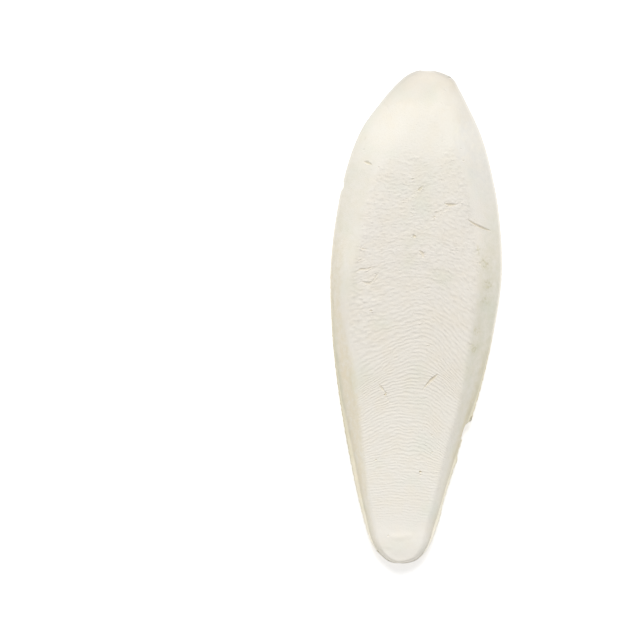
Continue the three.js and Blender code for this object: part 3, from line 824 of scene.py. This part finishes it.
# Relief. Geometry nodes raise what covers the surface by rule: the steps of the growth
# lines, the wrinkles between them, the marks cut into them, and the grains of the back.
RELIEF_SIZES = {  # heights in millimetres, and shares of a step
    "Step Height": 0.24,
    "Step Crest": 0.74,
    "Step Break": 0.70,
    "Wrinkle Height": 0.07,
    "Front Wrinkle Height": 0.25,
    "Lump Height": 0.07,
    "Swell Height": 0.09,
    "Mark Lip": 0.10,
    "Back Grain Height": 0.05,
    "Back Line Height": 0.04,
}
UPRIGHT = 20.0            # noise this long upwards hardly changes with height
CLOSE_WANDER = 0.8        # share of the closer of the two wanderings of a growth line
CREST_ROUNDING = 0.25
STEP_PATCH_BASE = 0.85    # their mean height, as they are lower in patches
FLAT_WRINKLES = 0.15      # share of the wrinkles left where there are no steps
STEP_WRINKLES = 0.85      # share that comes with the steps
FLANK_WRINKLES = 0.3      # share that comes on top of that on the flanks
CREASE_GAIN = 1.8         # creases stand where their noise is above a floor,
CREASE_FLOOR = 0.5        # so that flat ground lies between them
MARK_WALL_POWER = 0.7     # below 1, so that a mark's walls are steepest at its border
MARK_RAGGED = 0.12
LIP_AT = 1.25             # a mark's raised lip lies this far out, as a share of its width
LIP_NARROWNESS = 7.0
SHADED_DEPTH = 3.0        # a third of a millimetre deep is fully shaded
SMOOTH_RIM = (0.4, 2.5)   # inset over which swells and the back's relief set in
BACK_LINE_ARCH = 0.022    # how far the back's lines arch, per square of the way across
BACK_LINE_TURN = 1.9      # how closely they follow one another, in radians per millimetre
TABLE_CORNER = (-1, -1, 0)  # metres: nothing may lie lower than the table


class Flow:
    """What comes out of a node. Reckoning with it places math nodes."""

    def __init__(self, socket):
        self.socket = socket
        self.tree = socket.id_data

    def output(self, name):
        """Another output of the same node."""
        return Flow(self.socket.node.outputs[name])

    def calc(self, operation, *others):
        return add(self.tree, "ShaderNodeMath", enumerate((self, *others)), operation=operation)

    def clamped(self):
        """Holds what its math node works out between 0 and 1."""
        self.socket.node.use_clamp = True
        return self

    def __add__(self, other):
        return self.calc("ADD", other)

    def __sub__(self, other):
        return self.calc("SUBTRACT", other)

    def __rsub__(self, number):
        return add(self.tree, "ShaderNodeMath", {0: number, 1: self}, operation="SUBTRACT")

    def __mul__(self, other):
        return self.calc("MULTIPLY", other)

    def __truediv__(self, other):
        return self.calc("DIVIDE", other)


def wire(value, socket):
    """Links a flow to a socket, or sets the socket to a plain value."""
    if isinstance(value, Flow):
        value.tree.links.new(value.socket, socket)
    elif socket.type == "RGBA":
        socket.default_value = (*value, 1)
    else:
        socket.default_value = value


def add(tree, kind, inputs=(), output=0, **settings):
    """Adds a node, with its inputs by name or number, and gives one of its outputs."""
    node = tree.nodes.new(kind)
    for name, value in settings.items():
        setattr(node, name, value)
    for name, value in dict(inputs).items():
        wire(value, node.inputs[name])
    return Flow(node.outputs[output])


def vector_calc(operation, vector, other):
    other_input = "Scale" if operation == "SCALE" else 1
    return add(vector.tree, "ShaderNodeVectorMath", {0: vector, other_input: other},
               operation=operation)


def part_of(vector, axis):
    return add(vector.tree, "ShaderNodeSeparateXYZ", {0: vector}, axis)


def node_group(name, kind, inputs, outputs):
    """A node group with named sockets: the group, its inputs as flows, and its outputs."""
    group = bpy.data.node_groups.new(name, kind)
    for in_out, sockets in (("INPUT", inputs), ("OUTPUT", outputs)):
        for label, socket_kind in sockets.items():
            group.interface.new_socket(
                name=label, in_out=in_out, socket_type="NodeSocket" + socket_kind)
    group_in = group.nodes.new("NodeGroupInput").outputs
    group_out = group.nodes.new("NodeGroupOutput").inputs
    return group, {socket.name: Flow(socket) for socket in group_in}, group_out


relief, relief_in, relief_out = node_group(
    "bone_relief", "GeometryNodeTree",
    {"Geometry": "Geometry", "Marks": "Object", **{name: "Float" for name in RELIEF_SIZES}},
    {"Geometry": "Geometry"})
relief.is_modifier = True


def stretched_noise(across, along, upright=UPRIGHT, detail=1.0, roughness=0.5):
    """Noise from -1 to 1 with its own length along each axis, in millimetres."""
    scaled = vector_calc("DIVIDE", relief_at, (across, along, upright))
    return add(relief, "ShaderNodeTexNoise", {
        "Vector": scaled, "Scale": 1.0, "Detail": detail, "Roughness": roughness}) * 4.0 - 2.0


def named(name):
    """A point attribute of the mesh."""
    return add(relief, "GeometryNodeInputNamedAttribute", {"Name": name}, "Attribute",
               data_type="FLOAT")


relief_at = vector_calc("SCALE", add(relief, "GeometryNodeInputPosition"), 1 / MM)
on_belly = named("belly")

wandering = stretched_noise(1.5, 1.0) * CLOSE_WANDER + stretched_noise(7.0, 3.5, detail=0.0)
pieces = add(relief, "ShaderNodeTexVoronoi",
             {"Vector": vector_calc("DIVIDE", relief_at, (2.2, 1.4, UPRIGHT)), "Scale": 1.0},
             "Color", feature="F1")
wandering = (part_of(pieces, "X") - 0.5) * relief_in["Step Break"] + wandering
phase = (wandering * named("wander") + named("growth")).calc("FRACT")
rising = phase / relief_in["Step Crest"]
falling = (1.0 - phase) / (1.0 - relief_in["Step Crest"])
profile = rising.calc("SMOOTH_MIN", falling, CREST_ROUNDING)
step_patches = (stretched_noise(2.4, 1.0) + STEP_PATCH_BASE).clamped()
onset = (named("onset") + stretched_noise(7.0, 5.0)).clamped()
steps = named("steps") * onset
step_relief = steps * step_patches * relief_in["Step Height"] * (profile - 0.5)

wrinkle_size = named("flank") * FLANK_WRINKLES + (steps * STEP_WRINKLES + FLAT_WRINKLES)
wrinkle_relief = stretched_noise(0.9, 0.6, detail=2.0, roughness=0.6) * (
    wrinkle_size * relief_in["Wrinkle Height"])
creases = (stretched_noise(1.3, 0.8).calc("ABSOLUTE") * CREASE_GAIN - CREASE_FLOOR).clamped()
crease_size = named("wrinkled") * relief_in["Front Wrinkle Height"] * onset
wrinkle_relief = wrinkle_relief + creases * crease_size
lump_size = named("lumpy") * relief_in["Lump Height"]
wrinkle_relief = stretched_noise(2.4, 1.7, detail=2.0) * lump_size + wrinkle_relief
swells = stretched_noise(9.0, 13.0, detail=0.0)

marks_shape = add(relief, "GeometryNodeObjectInfo", {"Object": relief_in["Marks"]}, "Geometry")
nearest = add(relief, "GeometryNodeSampleNearest", {"Geometry": marks_shape}, "Index",
              domain="POINT")
from_mark = add(relief, "GeometryNodeProximity", {0: marks_shape}, "Distance",
                target_element="EDGES") * (1 / MM)


def of_nearest_mark(name):
    return add(relief, "GeometryNodeSampleIndex",
               {"Geometry": marks_shape, "Value": named(name), "Index": nearest},
               data_type="FLOAT", domain="POINT")


mark_depth = of_nearest_mark("depth")
across_mark = from_mark / of_nearest_mark("width")
across_mark = stretched_noise(0.7, 0.7, 3.0) * MARK_RAGGED + across_mark
hollow = (1.0 - across_mark).clamped().calc("POWER", MARK_WALL_POWER) * on_belly
shaded = hollow * (mark_depth * SHADED_DEPTH).clamped()
lip = across_mark - LIP_AT
lip = (lip * lip * -LIP_NARROWNESS).calc("EXPONENT") * relief_in["Mark Lip"]
mark_relief = (lip - hollow) * mark_depth * on_belly

inwards = add(relief, "ShaderNodeMapRange", {
    "Value": named("inset"), "From Min": SMOOTH_RIM[0], "From Max": SMOOTH_RIM[1]})
belly_relief = (step_relief + wrinkle_relief) * (1.0 - hollow) + mark_relief
belly_relief = (belly_relief + swells * relief_in["Swell Height"] * inwards) * on_belly

sideways = part_of(relief_at, "X")
back_arc = sideways * sideways * BACK_LINE_ARCH + part_of(relief_at, "Y")
back_lines = (back_arc * BACK_LINE_TURN + swells).calc("SINE") * relief_in["Back Line Height"]
grains = stretched_noise(1.3, 1.3, 3.0) * relief_in["Back Grain Height"]
back_relief = (grains + back_lines) * (1.0 - on_belly) * inwards

shape = relief_in["Geometry"]
for name, value in (("hollow", shaded), ("step_low", steps * (1.0 - profile))):
    shape = add(relief, "GeometryNodeStoreNamedAttribute",
                {"Geometry": shape, "Name": name, "Value": value},
                data_type="FLOAT", domain="POINT")
offset = vector_calc("SCALE", add(relief, "GeometryNodeInputNormal"),
                     (belly_relief + back_relief) * MM)
moved = vector_calc("ADD", add(relief, "GeometryNodeInputPosition"), offset)
above_table = vector_calc("MAXIMUM", moved, TABLE_CORNER)
shape = add(relief, "GeometryNodeSetPosition", {"Geometry": shape, "Position": above_table})


# Horn. Both faces end in the same thin edge of dry, yellowish horn, darker right at the rim
# and specked where it is worn. This group works it out for either face.
HORN_DARK = (0.65, 0.61, 0.47)
HORN_PALE = (0.78, 0.75, 0.62)
HORN_RIM = (0.58, 0.51, 0.36)
HORN_RAGGED = 1.2         # how far its inner border wanders


def mix_colour(share, first, second, blend="MIX"):
    """Two colours, each a flow or three plain numbers, mixed by a share from 0 to 1."""
    return add(share.tree, "ShaderNodeMix", {0: share, 6: first, 7: second}, 2,
               data_type="RGBA", blend_type=blend)


def noise_in(place, length, detail=2.0, roughness=0.5):
    """Noise from 0 to 1 whose patches are about this many millimetres long."""
    return add(place.tree, "ShaderNodeTexNoise", {
        "Vector": place, "Scale": 1 / length, "Detail": detail, "Roughness": roughness})


def ramp(value, start, end):
    """Goes smoothly from 0 to 1 while the value goes from start to end."""
    return add(value.tree, "ShaderNodeMapRange",
               {"Value": value, "From Min": start, "From Max": end},
               interpolation_type="SMOOTHSTEP")


horn, horn_in, horn_out = node_group(
    "horny_edge", "ShaderNodeTree",
    {"Position": "Vector", "Inset": "Float", "Width": "Float", "Strength": "Float",
     "Base Color": "Color"},
    {"Color": "Color", "Mask": "Float"})
cloud = noise_in(horn_in["Position"], 3.0, detail=3.0)
speck = noise_in(horn_in["Position"], 0.7)
ragged_inset = (cloud - 0.5) * HORN_RAGGED + horn_in["Inset"]
horn_mask = (1.0 - ragged_inset / horn_in["Width"]).clamped()
horn_mask = ramp(horn_mask, 0.0, 0.7) * horn_in["Strength"]
rim_mask = ramp(horn_in["Inset"], 0.5, 0.05) * ramp(speck, 0.35, 0.62) * horn_in["Strength"]
coloured = mix_colour(horn_mask, horn_in["Base Color"], mix_colour(cloud, HORN_DARK, HORN_PALE))
wire(mix_colour(rim_mask, coloured, HORN_RIM), horn_out["Color"])
wire(horn_mask, horn_out["Mask"])

# Grain. Both faces show a fine, dry grain under raking light.
grain, grain_in, grain_out = node_group(
    "dry_grain", "ShaderNodeTree",
    {"Position": "Vector", "Size": "Float", "Strength": "Float"}, {"Height": "Float"})
grain_sizes = add(grain, "ShaderNodeCombineXYZ", {axis: grain_in["Size"] for axis in "XYZ"})
fine = noise_in(vector_calc("DIVIDE", grain_in["Position"], grain_sizes), 1.0,
                detail=3.0, roughness=0.6)
wire((fine - 0.5) * grain_in["Strength"], grain_out["Height"])

# Chalk. The belly face is dry aragonite, matt and cream-white, a little glossier and browner
# at the front tip. The foot of each step is darker, partly settled dust and partly painted
# shade; the marks' floors carry painted shade, the rim a painted highlight, and stains lie over
# it.
# Painted light: the paler colours of the front dome, from 58 to 66 along Y, and of the rear half
# stand in partly for light that these slopes catch.
CHALK_ALONG = [  # place along Y, colour there
    (-79, (0.875, 0.838, 0.770)),
    (-48, (0.885, 0.850, 0.777)),
    (-20, (0.850, 0.810, 0.735)),
    (25, (0.845, 0.805, 0.738)),
    (46, (0.840, 0.805, 0.733)),
    (58, (0.880, 0.845, 0.762)),
    (66, (0.870, 0.830, 0.742)),
    (78, (0.765, 0.718, 0.636)),
]
RAMP_REACH = 80           # the colours run from this far rearward to as far forward
DRIFT = 14.0              # how far they wander along Y
STAIN_COLOURS = {
    "ochre": (0.935, 0.895, 0.785),
    "olive": (0.895, 0.905, 0.85),
    "lavender": (0.945, 0.956, 0.985),
}
WARM_BLOTCH = (1.0, 0.985, 0.955)
COOL_BLOTCH = (0.955, 0.982, 0.965)
SPOT_COLOUR = (0.84, 0.825, 0.70)
DUST_AND_PAINTED_SHADE = (0.93, 0.918, 0.895)
MARK_FLOOR_SHADE = (0.93, 0.91, 0.85)
PAINTED_RIM_LIGHT = (0.95, 0.93, 0.87)
STAIN_BASE = 0.35         # the least of a stain's strength between its flecks
DUST_AND_SHADE_SHARE = 0.5
CHALK_HORN_WIDTH = 2.2
CHALK_GRAIN = 0.45
CHALK_SPECKLE = 0.06
CHALK_BUMP = 0.08         # millimetres
CHALK_ROUGHNESS = 0.86
TIP_GLOSS = 0.2           # how much less rough the front tip is
CHALK_SHEEN = 0.25
STROKES_PER_STEP = 2.3    # faint strokes along the growth lines
STROKE_HEIGHT = 3.0       # beside the grain's


def new_finish(name):
    """A material, its tree, its shader's inputs, and the place on the bone in millimetres."""
    finish = bpy.data.materials.new(name)
    finish.use_nodes = True
    tree = finish.node_tree
    place = vector_calc("SCALE", add(tree, "ShaderNodeTexCoord", output="Object"), 1 / MM)
    return finish, tree, tree.nodes["Principled BSDF"].inputs, place


def attribute_of(tree, name):
    return add(tree, "ShaderNodeAttribute", output="Fac", attribute_name=name)


def tint(tone, share, colour):
    """Multiplies a colour by another one, by a share from 0 to 1."""
    return mix_colour(share, tone, colour, "MULTIPLY")


def horn_over(tone, place, inset, width, strength):
    """A face's colour with the horny edge over it."""
    return add(place.tree, "ShaderNodeGroup",
               {"Position": place, "Inset": inset, "Width": width, "Strength": strength,
                "Base Color": tone}, "Color", node_tree=horn)


def grain_at(place, size):
    return add(place.tree, "ShaderNodeGroup", {"Position": place, "Size": size, "Strength": 1.0},
               "Height", node_tree=grain)


def finish_off(shader, colour, speckle, height, bump):
    """Gives a shader its colour, speckled, and its fine bumps."""
    wire(vector_calc("SCALE", colour, speckle + 1.0), shader["Base Color"])
    wire(add(height.tree, "ShaderNodeBump",
             {"Height": height, "Distance": bump * MM, "Strength": 1.0}), shader["Normal"])


chalk, chalk_tree, chalk_shader, chalk_at = new_finish("chalk")
along = (noise_in(chalk_at, 9.0) - 0.5) * DRIFT + part_of(chalk_at, "Y")
along = add(chalk_tree, "ShaderNodeMapRange",
            {"Value": along, "From Min": -RAMP_REACH, "From Max": RAMP_REACH})
tone = add(chalk_tree, "ShaderNodeValToRGB", {"Fac": along}, "Color")
stops = tone.socket.node.color_ramp.elements
for i, (place_y, colour) in enumerate(CHALK_ALONG):
    stop = stops[i] if i < len(stops) else stops.new(1.0)
    stop.position = (place_y + RAMP_REACH) / (2 * RAMP_REACH)
    stop.color = (*colour, 1)

warm = noise_in(chalk_at, 6.0, detail=3.0, roughness=0.6)
tone = tint(tone, ramp(warm, 0.35, 0.75), WARM_BLOTCH)
cool = noise_in(chalk_at, 11.0, detail=1.0)
tone = tint(tone, ramp(cool, 0.5, 0.8), COOL_BLOTCH)
fleck = noise_in(chalk_at, 2.2, detail=4.0, roughness=0.7)
patchy = ramp(fleck, 0.25, 0.75) + STAIN_BASE
for name, colour in STAIN_COLOURS.items():
    tone = tint(tone, (attribute_of(chalk_tree, name) * patchy).clamped(), colour)
dot = ramp(noise_in(chalk_at, 0.9, detail=2.0, roughness=0.6), 0.46, 0.62)
tone = tint(tone, attribute_of(chalk_tree, "spots") * (dot * 0.85 + 0.15), SPOT_COLOUR)
# Darker at the foot of each step: partly settled dust, partly painted shade where the riser falls
# in shade.
tone = tint(tone, (attribute_of(chalk_tree, "step_low") * DUST_AND_SHADE_SHARE).clamped(), DUST_AND_PAINTED_SHADE)
# Painted shade on the floors of the marks, with a faint ochre tint; deeper marks are darker.
tone = tint(tone, ramp(attribute_of(chalk_tree, "hollow"), 0.1, 0.9), MARK_FLOOR_SHADE)
chalk_inset = attribute_of(chalk_tree, "inset")
# Painted highlight: right at the rim, where no dark horn shows, the chalk is painted paler in
# place of light on the rounded rim.
painted_rim_light_share = ramp(chalk_inset, 0.9, 0.1) * (1.0 - attribute_of(chalk_tree, "rimmed"))
tone = mix_colour(painted_rim_light_share, tone, PAINTED_RIM_LIGHT)
tone = horn_over(tone, chalk_at, chalk_inset, CHALK_HORN_WIDTH, attribute_of(chalk_tree, "horn"))

stroke_at = add(chalk_tree, "ShaderNodeCombineXYZ", {
    "X": part_of(chalk_at, "X"), "Y": attribute_of(chalk_tree, "growth") * STROKES_PER_STEP})
strokes = noise_in(stroke_at, 1.0, detail=2.0, roughness=0.6) - 0.5
strokes = strokes * attribute_of(chalk_tree, "roughened")
chalk_grain = grain_at(chalk_at, CHALK_GRAIN)
chalk_height = strokes * STROKE_HEIGHT + chalk_grain
finish_off(chalk_shader, tone, chalk_grain * CHALK_SPECKLE, chalk_height, CHALK_BUMP)
front_tip = ramp(along, 0.80, 0.92)
wire(front_tip * -TIP_GLOSS + CHALK_ROUGHNESS, chalk_shader["Roughness"])
wire(CHALK_SHEEN, chalk_shader["Specular IOR Level"])

# Shield. The back is hard and slightly glossy, cream with a rosy cast, closely set with fine
# granules, and grows in curved lines like the belly face; painted shade darkens between the
# granules and along the lines. It is rosier on its middle rib and browner towards the rear.
# Its horn is broad at the sides there, and a painted highlight makes the rim pale round the front.
SHIELD_PALE = (0.82, 0.755, 0.665)
SHIELD_DARK = (0.76, 0.69, 0.59)
SHIELD_RIB = (0.84, 0.735, 0.65)
SHIELD_REAR = (0.93, 0.88, 0.78)
SHIELD_LINE_TINT_AND_SHADE = (0.90, 0.87, 0.82)
SHIELD_GRANULE_SHADE = (0.86, 0.82, 0.76)
SHIELD_PAINTED_RIM_LIGHT = (0.90, 0.885, 0.84)
GRANULE = 0.85            # millimetres
LINE_STRETCH = 0.06       # how little the lines change along their own length
LINE_DEPTH = 1.2          # beside the grain's height
GRANULE_DEPTH = 1.6
RIB_SHARE = 0.6
REAR_SHARE = 0.8
SHIELD_GRAIN = 0.6
SHIELD_SPECKLE = 0.15
SHIELD_BUMP = 0.12        # millimetres
SHIELD_ROUGHNESS = 0.55
HORN_GLOSS = 0.15         # how much less rough the horn is

shield, shield_tree, shield_shader, shield_at = new_finish("shield")
sideways, lengthwise = part_of(shield_at, "X"), part_of(shield_at, "Y")
blotch = noise_in(shield_at, 8.0, detail=3.0, roughness=0.6)
tone = mix_colour(ramp(blotch, 0.3, 0.7), SHIELD_PALE, SHIELD_DARK)
tone = mix_colour(ramp(sideways.calc("ABSOLUTE"), 7.0, 1.0) * RIB_SHARE, tone, SHIELD_RIB)
tone = tint(tone, ramp(lengthwise, 0.0, -75.0) * REAR_SHARE, SHIELD_REAR)
line_at = add(shield_tree, "ShaderNodeCombineXYZ", {
    "X": sideways * LINE_STRETCH, "Y": sideways * sideways * BACK_LINE_ARCH + lengthwise})
lines = noise_in(line_at, 1.6, detail=3.0, roughness=0.6)
# The lines are partly the shield's own faint banding and partly painted shade in their grooves.
tone = tint(tone, ramp(lines, 0.45, 0.65), SHIELD_LINE_TINT_AND_SHADE)
granules = add(shield_tree, "ShaderNodeTexVoronoi",
               {"Vector": shield_at, "Scale": 1 / GRANULE}, "Distance")
# Painted shade between the granules, darker away from each one's middle.
tone = tint(tone, ramp(granules, 0.35, 0.75), SHIELD_GRANULE_SHADE)
shield_inset = attribute_of(shield_tree, "inset")
rimmed = attribute_of(shield_tree, "rimmed")
# Painted highlight: the shield is painted paler near the rim where little dark horn shows, round
# the front, in place of light on the rounded rim.
tone = mix_colour(ramp(shield_inset, 1.8, 0.1) * (1.0 - rimmed), tone, SHIELD_PAINTED_RIM_LIGHT)
horn_width = add(shield_tree, "ShaderNodeMapRange", {
    "Value": lengthwise, "From Min": 60.0, "From Max": -60.0, "To Min": 1.0, "To Max": 6.0})
tone = horn_over(tone, shield_at, shield_inset, horn_width, rimmed)
shield_grain = grain_at(shield_at, SHIELD_GRAIN)
shield_height = lines * -LINE_DEPTH + (granules * -GRANULE_DEPTH + shield_grain)
finish_off(shield_shader, tone, shield_grain * SHIELD_SPECKLE, shield_height, SHIELD_BUMP)
wire(tone.output("Mask") * -HORN_GLOSS + SHIELD_ROUGHNESS, shield_shader["Roughness"])

# The finished bone: relief applied, one plain mesh that stands for the CAD node. The chalk's
# finish reaches a little way down the rim, and the shield's covers the rest.
CHALK_DOWN_TO = 0.4       # share of the belly face at a place, which falls to 0 on the rim

for finish, selection in ((shield, True), (chalk, on_belly.calc("GREATER_THAN", CHALK_DOWN_TO))):
    shape = add(relief, "GeometryNodeSetMaterial",
                {"Geometry": shape, "Selection": selection, "Material": finish})
wire(add(relief, "GeometryNodeRealizeInstances", {"Geometry": shape}), relief_out["Geometry"])

rough_bone = new_object("rough_bone", bone_mesh)
modifier = rough_bone.modifiers.new("relief", "NODES")
modifier.node_group = relief
modifier_values = {"Marks": marks, **RELIEF_SIZES}
for item in relief.interface.items_tree:
    if item.name in modifier_values:
        modifier[item.identifier] = modifier_values[item.name]
graph = bpy.context.evaluated_depsgraph_get()
surface_mesh = bpy.data.meshes.new_from_object(rough_bone.evaluated_get(graph), depsgraph=graph)
surface_mesh.shade_smooth()
bpy.data.objects.remove(rough_bone)
bpy.data.objects.remove(marks)

bone = new_object("cuttlebone_surface", surface_mesh)
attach(bone, "root")
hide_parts("cuttlebone")
